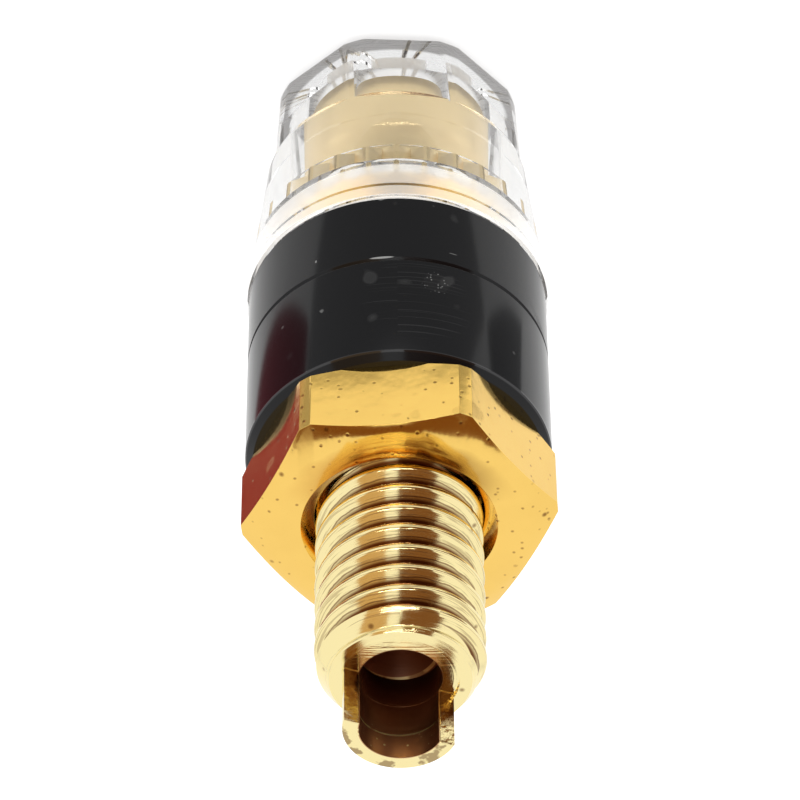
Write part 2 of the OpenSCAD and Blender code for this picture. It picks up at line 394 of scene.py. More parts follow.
def box(name, low, high):
    """A block from its low to its high corner."""
    low, high = Vector(low), Vector(high)
    bpy.ops.mesh.primitive_cube_add(size=1, location=(low + high) / 2)
    piece = bpy.context.object
    piece.scale = high - low
    return settle(piece, name)


def turn(piece, by):
    """Turn a settled piece about Z."""
    piece.data.transform(Matrix.Rotation(by, 4, "Z"))
    return piece


def finish_piece(piece, node, body, material):
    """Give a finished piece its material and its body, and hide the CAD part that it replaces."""
    piece.data.materials.clear()
    piece.data.materials.append(material)
    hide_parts(node)
    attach(piece, body)


# ---- material helpers


class Nodes:
    """Adds and links the nodes of one tree."""

    def __init__(self, tree):
        self.tree = tree
        self.count = 0

    def add(self, kind, inputs=None, **settings):
        node = self.tree.nodes.new(kind)
        node.location = (self.count * 190, 0)
        self.count += 1
        for name, value in settings.items():
            setattr(node, name, value)
        for name, value in (inputs or {}).items():
            self.feed(node, name, value)
        return node

    def feed(self, node, name, value):
        socket = node.inputs[name]
        if isinstance(value, bpy.types.NodeSocket):
            self.tree.links.new(value, socket)
        else:
            socket.default_value = value

    def math(self, operation, a, b=0.0):
        return self.add("ShaderNodeMath", {0: a, 1: b}, operation=operation).outputs[0]

    def fold(self, operation, first, *others):
        for other in others:
            first = self.math(operation, first, other)
        return first

    def times(self, *values):
        return self.fold("MULTIPLY", *values)

    def plus(self, *values):
        return self.fold("ADD", *values)

    def most(self, *values):
        return self.fold("MAXIMUM", *values)

    def blend(self, factor, a, b):
        """A colour between a and b."""
        inputs = {0: factor, 6: a, 7: b}
        return self.add("ShaderNodeMix", data_type="RGBA", inputs=inputs).outputs[2]

    def span(self, value, low, high, to_low=0.0, to_high=1.0):
        """Map low..high to to_low..to_high, held inside that range."""
        inputs = {
            "Value": value, "From Min": low, "From Max": high, "To Min": to_low, "To Max": to_high,
        }
        return self.add("ShaderNodeMapRange", inputs, clamp=True).outputs[0]

    def band(self, value, low, high, soft):
        """1 from low to high, and 0 outside, over a soft edge."""
        rise = self.span(value, low - soft, low)
        return self.times(rise, self.span(value, high, high + soft, 1.0, 0.0))

    def noise(self, place, scale, detail, **more):
        inputs = {"Vector": place, "Scale": scale, "Detail": detail, **more}
        return self.add("ShaderNodeTexNoise", inputs).outputs["Fac"]

    def bump(self, shader, depth, height):
        """Bump a shader by a height that stands for this depth in metres."""
        inputs = {"Strength": 1.0, "Distance": depth, "Height": height}
        self.feed(shader, "Normal", self.add("ShaderNodeBump", inputs).outputs[0])


def new_group(name, inputs, outputs):
    """A shader node group, as (tree, nodes, its inputs' sockets).

    An input has its default, or None where it is a vector. The outputs are numbers."""
    tree = bpy.data.node_groups.new(name, "ShaderNodeTree")
    for label, default in inputs.items():
        kind = "NodeSocketVector" if default is None else "NodeSocketFloat"
        socket = tree.interface.new_socket(name=label, in_out="INPUT", socket_type=kind)
        if default is not None:
            socket.default_value = default
    for label in outputs:
        tree.interface.new_socket(name=label, in_out="OUTPUT", socket_type="NodeSocketFloat")
    nodes = Nodes(tree)
    return tree, nodes, nodes.add("NodeGroupInput").outputs


def make_lathe_place():
    """Distance from the turning axis and height in millimetres, and the angle around the axis."""
    tree, n, given = new_group("lathe_place", {"Vector": None}, ("Radius", "Height", "Around"))
    parts = n.add("ShaderNodeSeparateXYZ", {"Vector": given["Vector"]}).outputs
    x, y, z = (n.times(parts[axis], 1 / MM) for axis in "XYZ")
    n.add(
        "NodeGroupOutput",
        {
            "Radius": n.math("SQRT", n.plus(n.times(x, x), n.times(y, y))),
            "Height": z,
            "Around": n.math("ARCTAN2", x, n.times(y, -1.0)),
        },
    )
    return tree


def make_spot():
    """A soft-edged spot round one place in millimetres, 1 at its middle."""
    tree, n, given = new_group("spot", {"Vector": None, "Middle": None, "Size": None}, ("Mask",))
    place = given["Vector"]
    for operation, by in (
        ("SCALE", {"Scale": 1 / MM}),
        ("SUBTRACT", {1: given["Middle"]}),
        ("DIVIDE", {1: given["Size"]}),
    ):
        place = n.add("ShaderNodeVectorMath", {0: place, **by}, operation=operation).outputs[0]
    far = n.add("ShaderNodeVectorMath", {0: place}, operation="LENGTH").outputs["Value"]
    n.add("NodeGroupOutput", {"Mask": n.span(far, 0.75, 1.0, 1.0, 0.0)})
    return tree


def make_blotches():
    """Soft uneven patches, from 0 to 1."""
    tree, n, given = new_group("blotches", {"Vector": None, "Scale": 500.0}, ("Mask",))
    noise = n.noise(given["Vector"], given["Scale"], 3.0)
    n.add("NodeGroupOutput", {"Mask": n.span(noise, 0.3, 0.7)})
    return tree


def make_pits():
    """Small pits and specks over the surface: Mask is 1 in a pit, Height falls there."""
    tree, n, given = new_group(
        "pits", {"Vector": None, "Scale": 900.0, "Amount": 0.5}, ("Mask", "Height")
    )
    inputs = {"Vector": given["Vector"], "Scale": given["Scale"], "Randomness": 1.0}
    cells = n.add("ShaderNodeTexVoronoi", inputs).outputs
    pick = n.add("ShaderNodeSeparateColor", {"Color": cells["Color"]}).outputs[0]
    chosen = n.math("LESS_THAN", pick, given["Amount"])
    mask = n.times(chosen, n.span(cells["Distance"], 0.10, 0.26, 1.0, 0.0))
    n.add("NodeGroupOutput", {"Mask": mask, "Height": n.math("SUBTRACT", 1.0, mask)})
    return tree


def make_turning_marks():
    """Fine rings left by turning, as height and as a light and dark streak."""
    tree, n, given = new_group("turning_marks", {"Vector": None}, ("Height", "Streak"))
    lie = group(n, "lathe_place", given["Vector"])
    place = n.add(
        "ShaderNodeCombineXYZ",
        {
            "X": n.times(lie["Around"], 0.35),
            "Y": n.times(lie["Radius"], 11.0),
            "Z": n.times(lie["Height"], 9.0),
        },
    ).outputs[0]
    noise = n.noise(place, 1.0, 3.0, Roughness=0.6)
    n.add("NodeGroupOutput", {"Height": noise, "Streak": n.span(noise, 0.35, 0.65)})
    return tree


def make_scuffs():
    """Long faint scratches in two directions."""
    tree, n, given = new_group("scuffs", {"Vector": None, "Scale": 900.0, "Amount": 0.5}, ("Mask",))
    lines = []
    for slant in ((0.3, 0.2, 0.9), (-0.5, 0.8, 0.35)):
        inputs = {"Vector": given["Vector"], "Rotation": slant, "Scale": (1.0, 0.05, 1.0)}
        drawn_out = n.add("ShaderNodeMapping", inputs).outputs[0]
        lines.append(n.span(n.noise(drawn_out, given["Scale"], 1.0), 0.70, 0.74))
    n.add("NodeGroupOutput", {"Mask": n.times(n.most(*lines), given["Amount"])})
    return tree


GROUPS = {
    "lathe_place": make_lathe_place,
    "spot": make_spot,
    "blotches": make_blotches,
    "pits": make_pits,
    "turning_marks": make_turning_marks,
    "scuffs": make_scuffs,
}


def group(nodes, name, place, **values):
    """Add a shared effect with its own values, and give its outputs."""
    tree = bpy.data.node_groups.get(name) or GROUPS[name]()
    inputs = {"Vector": place, **values}
    return nodes.add("ShaderNodeGroup", inputs, node_tree=tree).outputs


def blank_nodes(owner):
    """Give a material or a world an empty tree."""
    owner.use_nodes = True
    owner.node_tree.nodes.clear()
    return Nodes(owner.node_tree)


def new_material(name):
    """A material with one Principled shader, as (material, nodes, shader, coordinates)."""
    material = bpy.data.materials.new(name)
    nodes = blank_nodes(material)
    shader = nodes.add("ShaderNodeBsdfPrincipled")
    nodes.add("ShaderNodeOutputMaterial", {"Surface": shader.outputs[0]})
    coordinates = nodes.add("ShaderNodeTexCoord").outputs["Object"]
    return material, nodes, shader, coordinates


def gold_plate(finish, post):
    """Pale gold plate of the post: painted shade in the grooves, fine tool lines, and the cup with
    painted shade on its milled floor and in its bore, and a stain near its end.
    """
    material, n, shader, place = new_material("gold_plate")
    lie = group(n, "lathe_place", place)
    r, z, around = lie["Radius"], lie["Height"], lie["Around"]
    marks = group(n, "turning_marks", place)
    pits = group(n, "pits", place, Scale=1500.0, Amount=0.10)
    scuffs = group(n, "scuffs", place, Scale=700.0, Amount=0.5)["Mask"]
    patches = group(n, "blotches", place, Scale=1100.0)["Mask"]

    # painted shade, brown, in the grooves of the stud's thread, from the collar to the chamfer
    on_stud = n.times(n.band(z, 14.9, 37.2, 0.02), n.span(r, 3.0, 3.05))
    groove = n.times(n.span(r, 3.36, 3.54, 1.0, 0.0), on_stud)
    # along is 0 in a groove, 0.5 on the crest, and on towards the next groove
    pitches = n.math("DIVIDE", n.math("SUBTRACT", z, post.groove_z / MM), post.stud_pitch / MM)
    turns = n.math("SUBTRACT", pitches, n.math("DIVIDE", around, math.tau))
    along = n.math("FRACT", n.plus(turns, 20.5))
    wander = n.plus(along, n.times(patches, 0.03))
    low_line = n.band(wander, 0.80, 0.82, 0.008)
    crest_line = n.times(n.band(wander, 0.60, 0.612, 0.006), 0.6)
    streak = n.times(n.band(along, 0.62, 0.86, 0.03), n.span(marks["Streak"], 0.6, 0.8, 0.0, 0.5))
    tool_lines = n.times(n.most(low_line, crest_line, streak), on_stud)

    # painted shade on the milled floor of the cup, brown near its root, and further up on one side
    bore_r, cup_r = post.cup_bore_d / 2 / MM, post.cup_d / 2 / MM
    shoulder_z = (post.stud_end_z - post.cup_cut_in) / MM
    facing = (-math.sin(post.cup_cut_turn), math.cos(post.cup_cut_turn), 0)
    inputs = {0: place, 1: facing}
    level = n.add("ShaderNodeVectorMath", inputs, operation="DOT_PRODUCT").outputs["Value"]
    floor_at = -post.cup_cut_drop
    on_floor = n.times(
        n.band(level, floor_at - 0.04 * MM, floor_at + 0.04 * MM, 0.01 * MM),
        n.band(r, bore_r + 0.08, cup_r + 0.02, 0.02),
        n.span(z, shoulder_z + 0.02, shoulder_z + 0.06),
    )
    x = n.add("ShaderNodeSeparateXYZ", {"Vector": place}).outputs["X"]
    ragged = n.plus(z, n.times(patches, 0.5), n.times(x, -0.2 / MM))
    milled_floor_shade = n.times(
        on_floor, n.span(ragged, 39.3, 39.5, 1.0, 0.0), n.span(patches, 0.2, 0.8, 0.45, 0.9)
    )
    rim_z = post.cup_z / MM
    end_stain = n.times(
        n.span(z, rim_z - 0.15, rim_z - 0.09), n.span(patches, 0.62, 0.75), 0.65
    )
    brown = n.most(
        groove, milled_floor_shade, end_stain, n.times(tool_lines, 0.75), n.times(pits["Mask"], 0.7)
    )
    outside = n.blend(brown, finish.gold, finish.tarnish_and_shade)

    # painted shade in the bore: dark brown, darker towards its root, with bright specks near the
    # mouth and two scribed rings
    in_bore = n.times(n.span(r, bore_r + 0.01, bore_r + 0.06, 1.0, 0.0), n.span(z, 33.9, 34.0))
    ring_at = n.plus(z, n.times(around, 0.06))
    upper_ring = n.band(ring_at, 39.40, 39.47, 0.02)
    lower_ring = n.times(n.band(ring_at, 36.05, 36.11, 0.02), 0.4)
    rings = n.times(n.most(upper_ring, lower_ring), n.span(patches, 0.30, 0.55, 0.25, 1.0))
    specks = group(n, "pits", place, Scale=3600.0, Amount=0.34)["Mask"]
    bright = n.most(n.times(specks, n.span(z, 38.6, 40.2)), rings)
    deep = n.blend(n.span(z, 35.9, 38.6), finish.bore_root_shade, finish.bore_shade_brown)
    inside = n.blend(bright, deep, finish.gold)
    n.feed(shader, "Base Color", n.blend(in_bore, outside, inside))
    shader.inputs["Metallic"].default_value = 1.0
    rough = n.plus(
        n.times(scuffs, 0.15), 0.09, n.times(marks["Streak"], 0.08), n.times(in_bore, 0.20)
    )
    n.feed(shader, "Roughness", rough)

    # milling streaks on the sunk shoulder, and dents on the milled floor
    inputs = {"Vector": place, "Rotation": (0, 0, 0.35), "Scale": (300, 5000, 1)}
    across = n.add("ShaderNodeMapping", inputs).outputs[0]
    streaks = n.noise(across, 1.0, 2.0)
    height = n.plus(
        n.times(marks["Height"], 0.5),
        n.times(pits["Height"], 0.6),
        n.times(n.band(z, shoulder_z - 0.04, shoulder_z + 0.04, 0.01), streaks, 2.5),
        n.times(on_floor, patches, 3.0),
    )
    n.bump(shader, 0.01 * MM, height)
    return material


def gold_plate_nut(finish, nut):
    """Deeper, smoother gold plate of the nut, pitted and with fine scratches, with a painted
    reflection of the stud round its bore.
    """
    material, n, shader, place = new_material("gold_plate_nut")
    lie = group(n, "lathe_place", place)
    r, z = lie["Radius"], lie["Height"]
    small = group(n, "pits", place, Scale=2500.0, Amount=0.34)["Mask"]
    large = group(n, "pits", place, Scale=1500.0, Amount=0.10)["Mask"]
    scuffs = group(n, "scuffs", place, Scale=700.0, Amount=0.5)["Mask"]
    patches = group(n, "blotches", place, Scale=420.0)["Mask"]
    pitted = n.most(n.times(small, 0.6), n.times(large, 0.8))
    base = n.blend(n.span(patches, 0.35, 0.75, 0.0, 0.14), finish.nut_gold, finish.nut_patch)

    # painted reflection of the stud, with painted shade round it: browner round the stud, on the
    # face and towards the front, brightest in the middle, between a brown and a darker side
    face_z = (nut.low_z + nut.thickness) / MM
    ragged = n.plus(r, n.times(patches, -0.35))
    x = n.add("ShaderNodeSeparateXYZ", {"Vector": place}).outputs["X"]
    bright_middle = n.times(n.band(x, -1.1 * MM, 0.3 * MM, 0.6 * MM), 0.9)
    stud_reflection = n.times(
        n.span(ragged, 4.5, 5.7, 0.9, 0.0),
        n.span(z, face_z - 0.15, face_z - 0.05),
        n.span(n.math("ABSOLUTE", lie["Around"]), 1.9, 2.6),
        n.math("SUBTRACT", 1.0, bright_middle),
    )
    brown = n.blend(n.span(x, 0, 0.9 * MM), finish.reflection_brown, finish.reflection_dark)
    base = n.blend(stud_reflection, base, brown)
    n.feed(shader, "Base Color", n.blend(pitted, base, finish.tarnish_and_shade))
    shader.inputs["Metallic"].default_value = 1.0
    n.feed(shader, "Roughness", n.plus(n.times(scuffs, 0.18), 0.12))
    height = n.plus(n.times(n.math("SUBTRACT", 1.0, pitted), 0.8), n.times(patches, 1.2))
    n.bump(shader, 0.008 * MM, height)
    return material


def insert_plate(finish):
    """Satin plate of the insert, with turning marks."""
    material, n, shader, place = new_material("insert_plate")
    marks = group(n, "turning_marks", place)
    pale = n.times(marks["Streak"], 0.25)
    n.feed(shader, "Base Color", n.blend(pale, finish.insert_gold, finish.gold))
    shader.inputs["Metallic"].default_value = 1.0
    shader.inputs["Roughness"].default_value = 0.38
    n.bump(shader, 0.006 * MM, marks["Height"])
    return material


def black_plastic(finish):
    """Glossy black moulding with a scuffed patch, some nicks, scratches along its turning, and a
    painted glint on the seam.
    """
    material, n, shader, place = new_material("black_plastic")
    height = group(n, "lathe_place", place)["Height"]
    scuffs = group(n, "scuffs", place, Scale=500.0, Amount=0.6)["Mask"]
    streak = group(n, "turning_marks", place)["Streak"]
    specks = group(n, "pits", place, Scale=1700.0, Amount=0.010)["Mask"]
    grit = group(n, "pits", place, Scale=6500.0, Amount=0.5)["Mask"]

    def spot(middle, size):
        return group(n, "spot", place, Middle=middle, Size=size)["Mask"]

    patch = spot((1.84, 6.94, 19.35), (0.75, 0.6, 0.75))
    # painted highlight: a light spot on the seam that stands for a glint
    seam_glint = spot((-0.72, 7.12, 17.78), (0.62, 0.4, 0.05))
    front_nick = spot((-0.74, 7.14, 13.72), (0.16, 0.3, 0.10))
    short_scratch = spot((2.62, 6.68, 17.1), (0.22, 0.3, 0.035))
    side_nick = spot((-3.81, 6.08, 16.9), (0.05, 0.3, 0.10))
    scratched = spot((1.0, 7.1, 20.6), (2.8, 2.0, 2.9))
    dust_and_glint = n.most(
        n.times(scuffs, 0.08),
        n.times(specks, 0.35),
        n.times(patch, grit),
        seam_glint,
        n.times(front_nick, 0.5),
        n.times(short_scratch, 0.35),
        n.times(side_nick, 0.6),
        n.times(n.span(streak, 0.80, 0.95), scratched, 0.05),
    )
    n.feed(shader, "Base Color", n.blend(dust_and_glint, finish.black, finish.dust_and_glint))
    n.feed(shader, "Roughness", n.plus(0.12, n.times(scuffs, 0.3), n.times(patch, 0.25)))
    # the highlight on the rear edge
    n.feed(shader, "Coat Weight", n.band(height, 24.02, 24.10, 0.03))
    shader.inputs["IOR"].default_value = 1.46
    shader.inputs["Specular IOR Level"].default_value = 0.3
    return material


def clear_plastic(finish):
    """Clear polished plastic, dark and dull round the nose where it stands, as a painted contact
    shadow, with a painted glow round its recess.
    """
    material, n, shader, place = new_material("clear_plastic")
    lie = group(n, "lathe_place", place)
    r, z = lie["Radius"], lie["Height"]
    # painted contact shadow round the nose, where the knob stands on the floor, and rougher there
    shaded = n.times(n.span(z, 0.46, 0.52, 1.0, 0.0), n.span(r, 3.5, 3.8))
    n.feed(shader, "Base Color", n.blend(shaded, finish.clear, finish.nose_shadow_tint))
    # a band round the recess glows milky by itself, as painted light, with two clear lines round
    # its middle
    strong_line = n.band(z, 11.95, 12.05, 0.05)
    weak_line = n.times(n.band(z, 12.75, 12.80, 0.04), 0.6)
    between = n.math("SUBTRACT", 1.0, n.most(strong_line, weak_line))
    glow_band = n.times(n.band(z, 10.6, 13.45, 0.15), n.band(r, 5.74, 5.84, 0.02), between)
    n.feed(shader, "Emission Color", n.blend(glow_band, (0, 0, 0, 1), finish.recess_glow))
    shader.inputs["Emission Strength"].default_value = 1.0
    n.feed(shader, "Roughness", n.most(n.times(shaded, 0.8), n.times(glow_band, 0.3)))
    shader.inputs["IOR"].default_value = 1.49
    shader.inputs["Transmission Weight"].default_value = 1.0
    return material


# ---- pieces


class POST_OT_build_post(bpy.types.Operator):
    """Make the turned and threaded post with its milled solder cup"""

    bl_idname = "binding_post.build_post"
    bl_label = "Post"

    def execute(self, context):
        s = context.scene.post_settings
        over, edge = 0.3 * MM, 0.04 * MM
        stud_r, stem_r, collar_r = s.stud_d / 2, s.stem_d / 2, s.collar_d / 2
        cup_r, bore_r, socket_r = s.cup_d / 2, s.cup_bore_d / 2, s.socket_d / 2
        top_of_collar = s.collar_z + s.collar_t
        stud = threaded_rod(
            "turned_post", stud_r, s.stud_root_d / 2, s.stud_pitch, s.crest_w, s.root_w,
            s.groove_z, top_of_collar - over, s.stud_end_z,
        )
        slope = (s.stud_d - s.stud_end_d) / 2 / s.stud_chamfer
        blank = solid("stud_blank", [
            (stud_r + over, top_of_collar - 2 * over),
            (stud_r + over, s.stud_end_z - s.stud_chamfer - over / slope),
            (s.stud_end_d / 2 - over * slope, s.stud_end_z + over),
        ])
        cut(stud, blank, "INTERSECT")
        flat = s.stem_pitch / 8
        stem = threaded_rod(
            "stem", stem_r, s.stem_root_d / 2, s.stem_pitch, flat, flat,
            s.stem_z, s.stem_z, s.collar_z + over,
        )
        blank = solid("stem_blank", [
            (stem_r - s.stem_pitch / 2 - over, s.stem_z - over),
            (stem_r + over, s.stem_z + s.stem_pitch / 2 + over),
            (stem_r + over, s.collar_z + 2 * over),
        ])
        cut(stem, blank, "INTERSECT")
        collar = solid("collar", [
            (collar_r - over, s.collar_z), (collar_r, s.collar_z + over),
            (collar_r, top_of_collar - over), (collar_r - over, top_of_collar),
        ])
        cup = solid("cup", [
            (cup_r, s.stud_end_z - 4 * over), (cup_r, s.cup_z - edge), (cup_r - edge, s.cup_z),
        ])
        for part in (collar, stem, cup):
            cut(stud, part, "UNION")
        drill = turned("cup_drill", [
            (0, s.cup_bore_z - bore_r * DRILL_SLOPE), (bore_r, s.cup_bore_z),
            (bore_r, s.cup_z + over), (0, s.cup_z + over),
        ])
        cut(stud, drill)
        mill = box(
            "mill",
            (-s.cup_d, -s.cup_cut_drop, s.stud_end_z - s.cup_cut_in),
            (s.cup_d, s.cup_d, s.cup_z + over),
        )
        turn(mill, s.cup_cut_turn)
        reach_r = cup_r + edge
        reach = [(reach_r, s.stud_end_z - 5 * over), (reach_r, s.cup_z + 2 * over)]
        cut(mill, solid("mill_reach", reach), "INTERSECT")
        cut(stud, mill)
        drill = [
            (0, s.stem_z - over), (socket_r, s.stem_z - over),
            (socket_r, s.stem_z + s.socket_l), (0, s.stem_z + s.socket_l + socket_r * DRILL_SLOPE),
        ]
        cut(stud, turned("socket_drill", drill, segments=64))
        bpy.ops.mesh.primitive_cylinder_add(
            vertices=48, radius=s.wire_hole_d / 2, depth=s.collar_d,
            location=(0, 0, s.wire_hole_z), rotation=(math.pi / 2, 0, 0),
        )
        cut(stud, settle(bpy.context.object, "wire_drill"))
        tidy_mesh(stud, sharp_deg=32)
        plate = gold_plate(context.scene.finish_settings, s)
        finish_piece(stud, "post", "post", plate)
        return {"FINISHED"}


class POST_OT_build_nut(bpy.types.Operator):
    """Make the chamfered hex nut"""

    bl_idname = "binding_post.build_nut"
    bl_label = "Nut"

    def execute(self, context):
        s = context.scene.nut_settings
        high_z = s.low_z + s.thickness
        corner_r = s.corner_d / 2
        slope = math.tan(s.chamfer)
        low_drop = (corner_r - s.seat_d / 2) * slope
        high_drop = (corner_r - s.face_d / 2) * slope
        sink = (s.sink_d - s.bore_d) / 2
        nut = turned("hex_nut", [
            (s.bore_d / 2, s.low_z + sink), (s.sink_d / 2, s.low_z),
            (s.seat_d / 2, s.low_z), (corner_r, s.low_z + low_drop),
            (corner_r, high_z - high_drop), (s.face_d / 2, high_z),
            (s.sink_d / 2, high_z), (s.bore_d / 2, high_z - sink),
        ], closed=True)
        bpy.ops.mesh.primitive_cylinder_add(
            vertices=6, radius=s.across_flats / 2 / math.cos(math.pi / 6), depth=2 * s.thickness,
            location=(0, 0, s.low_z + s.thickness / 2),
        )
        # the cylinder's first corner lies on +Y, and the part's first corner lies on +X
        hexagon = turn(settle(bpy.context.object, "hexagon"), math.radians(30) + s.turn)
        cut(nut, hexagon, "INTERSECT")
        soften(nut, s.edge_r, sharp_deg=35)
        flatten_shading(nut)
        plate = gold_plate_nut(context.scene.finish_settings, s)
        finish_piece(nut, "nut", "nut", plate)
        return {"FINISHED"}


class POST_OT_build_insulators(bpy.types.Operator):
    """Make the two black insulators"""

    bl_idname = "binding_post.build_insulators"
    bl_label = "Insulators"

    def execute(self, context):
        s = context.scene.insulator_settings
        r = s.diameter / 2
        black = black_plastic(context.scene.finish_settings)
        boss_r = s.boss_d / 2
        front = turned("front_collar", [
            (s.seat_d / 2, s.front_z), (r - s.edge, s.front_z),
            (r, s.front_z + s.edge), (r, s.seam_z - s.edge),
            (r - s.edge, s.seam_z), (boss_r, s.seam_z),
            (boss_r, s.seam_z + s.boss_l), (s.bore_d / 2, s.seam_z + s.boss_l),
            (s.bore_d / 2, s.front_z + s.seat_l), (s.seat_d / 2, s.front_z + s.seat_l),
        ], closed=True)
        key = box(
            "key",
            (boss_r - s.key_h, -s.key_w / 2, s.seam_z - s.edge),
            (boss_r + s.key_h, s.key_w / 2, s.seam_z + s.boss_l),
        )
        cut(front, key, "UNION")
        gap = s.gap
        rear = turned("rear_collar", [
            (boss_r + gap, s.seam_z), (r - s.edge, s.seam_z),
            (r, s.seam_z + s.edge), (r, s.rear_z - s.rear_edge),
            (r - s.rear_edge, s.rear_z), (s.bore_d / 2, s.rear_z),
            (s.bore_d / 2, s.seam_z + s.boss_l + gap),
            (boss_r + gap, s.seam_z + s.boss_l + gap),
        ], closed=True)
        slot = box(
            "key_slot",
            (boss_r - s.key_h, -s.key_w / 2 - gap, s.seam_z - gap),
            (boss_r + s.key_h + gap, s.key_w / 2 + gap, s.seam_z + s.boss_l + gap),
        )
        cut(rear, slot)
        for piece, node, body in (
            (front, "front_insulator", "post"),
            (rear, "rear_insulator", "rear_insulator"),
        ):
            soften(piece, MOULDED_EDGE, sharp_deg=40)
            finish_piece(piece, node, body, black)
        return {"FINISHED"}


class POST_OT_build_knob(bpy.types.Operator):
    """Make the clear knob with its flats"""

    bl_idname = "binding_post.build_knob"
    bl_label = "Knob"

    def execute(self, context):
        s = context.scene.knob_settings
        edge = 0.12 * MM
        knob = turned("clear_knob", [
            (s.nose_hole_d / 2, 0), (s.nose_d / 2 - s.nose_chamfer, 0),
            (s.nose_d / 2, s.nose_chamfer), (s.shoulder_d / 2, s.shoulder_l),
            (s.rim_d / 2, s.knob_l - s.rim_l), (s.rim_d / 2, s.knob_l - edge),
            (s.rim_d / 2 - edge, s.knob_l), (s.recess_d / 2, s.knob_l),
            (s.recess_d / 2, s.recess_z), (s.knurl_seat_d / 2, s.recess_z),
            (s.knurl_seat_d / 2, s.knurl_z), (s.chamber_d / 2, s.knurl_z),
            (s.chamber_d / 2, s.nose_t), (s.nose_hole_d / 2, s.nose_t),
        ], closed=True)
        front_r = s.flat_af / 2
        drafted = math.tan(s.flat_draft)
        around = 1 / math.cos(math.pi / s.flat_count)
        over = 1.0 * MM
        # a flat's middle lies half a step from a corner, and the first flat's middle lies on +Y
        corner = math.pi / 2 + s.flat_turn + math.pi / s.flat_count
        form = [
            ((front_r - s.nose_chamfer - 2 * over) * around, -2 * over),
            ((front_r + s.nose_chamfer * drafted) * around, s.nose_chamfer),
            ((front_r + (s.flat_l + over) * drafted) * around, s.flat_l + over),
        ]
        waste = solid("flat_waste", [(s.rim_d, -over), (s.rim_d, s.flat_l)], segments=64)
        cut(waste, solid("flat_form", form, s.flat_count, corner))
        cut(knob, waste)
        soften(knob, POLISHED_EDGE, sharp_deg=50)
        flatten_shading(knob)
        clear = clear_plastic(context.scene.finish_settings)
        finish_piece(knob, "knob_shell", "knob_shell", clear)
        return {"FINISHED"}


class POST_OT_build_insert(bpy.types.Operator):
    """Make the knurled insert inside the knob"""

    bl_idname = "binding_post.build_insert"
    bl_label = "Insert"

    def execute(self, context):
        s = context.scene.knob_settings
        insert = turned("knurled_insert", [
            (s.insert_bore_d / 2, s.nose_t), (s.insert_d / 2, s.nose_t),
            (s.insert_d / 2, s.knurl_z), (s.knurl_root_d / 2, s.knurl_z),
            (s.knurl_root_d / 2, s.recess_z), (s.insert_bore_d / 2, s.recess_z),
        ], segments=s.knurl_count * 6, closed=True)
        only(insert)
        # every sixth line of the knurled band is drawn out to a tooth
        bpy.ops.object.mode_set(mode="EDIT")
        mesh = bmesh.from_edit_mesh(insert.data)
        half_step = math.pi / s.knurl_count
        tooth_h = (s.knurl_d - s.knurl_root_d) / 2
        for v in mesh.verts:
            r = math.hypot(v.co.x, v.co.y)
            if abs(r - s.knurl_root_d / 2) < 0.01 * MM:
                at = math.atan2(v.co.y, v.co.x) % (2 * half_step)
                rise = 1 - min(at, 2 * half_step - at) / half_step
                v.co.xy *= (r + tooth_h * rise) / r
        bmesh.update_edit_mesh(insert.data)
        bpy.ops.object.mode_set(mode="OBJECT")
        tidy_mesh(insert, sharp_deg=20)
        satin = insert_plate(context.scene.finish_settings)
        finish_piece(insert, "knob_insert", "knob_insert", satin)
        return {"FINISHED"}


# ---- stage


def card(name, low, high, height, tone):
    """A flat studio card in its own tone."""
    middle = ((low[0] + high[0]) / 2, (low[1] + high[1]) / 2, height)
    bpy.ops.mesh.primitive_plane_add(size=1, location=middle)
    piece = bpy.context.object
    piece.scale = (high[0] - low[0], high[1] - low[1], 1)
    toned(settle(piece, name), tone)


def curtain(name, low_x, high_x, tone):
    """A studio card bent round the part along X, from above it down to the floor on +Y."""
    card(name, (low_x, -CURTAIN_R), (high_x, CURTAIN_R), 0, tone)
    piece = bpy.context.object
    edit_all(piece)
    bpy.ops.mesh.subdivide(number_cuts=31)
    first, last = math.radians(2), math.radians(98)
    mesh = bmesh.from_edit_mesh(piece.data)
    for v in mesh.verts:
        at = first + (last - first) * (v.co.y / CURTAIN_R + 1) / 2
        v.co.y, v.co.z = CURTAIN_R * math.sin(at), CURTAIN_R * math.cos(at)
    bmesh.update_edit_mesh(piece.data)
    bpy.ops.object.mode_set(mode="OBJECT")


def toned(piece, tone):
    """Give a stage card a tone of its own, and let it show in reflections alone."""
    material = bpy.data.materials.new(piece.name)
    n = blank_nodes(material)
    glow = n.add("ShaderNodeEmission", {"Color": tone, "Strength": 1.0})
    n.add("ShaderNodeOutputMaterial", {"Surface": glow.outputs[0]})
    piece.data.materials.append(material)
    piece.visible_shadow = False
    piece.visible_diffuse = False
    piece.visible_camera = False


def glowing_floor(stage):
    """Pale floor that is white by itself to the camera and in reflections, and still takes the
    shadow."""
    material = bpy.data.materials.new("pale_floor")
    n = blank_nodes(material)
    path = n.add("ShaderNodeLightPath").outputs
    mirrored = n.most(path["Is Glossy Ray"], path["Is Transmission Ray"])
    strength = n.most(
        n.times(path["Is Camera Ray"], stage.floor_glow), n.times(mirrored, stage.mirror_glow)
    )
    dull = n.add("ShaderNodeBsdfDiffuse", {"Color": stage.floor})
    glow = n.add("ShaderNodeEmission", {"Color": (1, 1, 1, 1), "Strength": strength})
    both = n.add("ShaderNodeAddShader", {0: dull.outputs[0], 1: glow.outputs[0]})
    n.add("ShaderNodeOutputMaterial", {"Surface": both.outputs[0]})
    return material


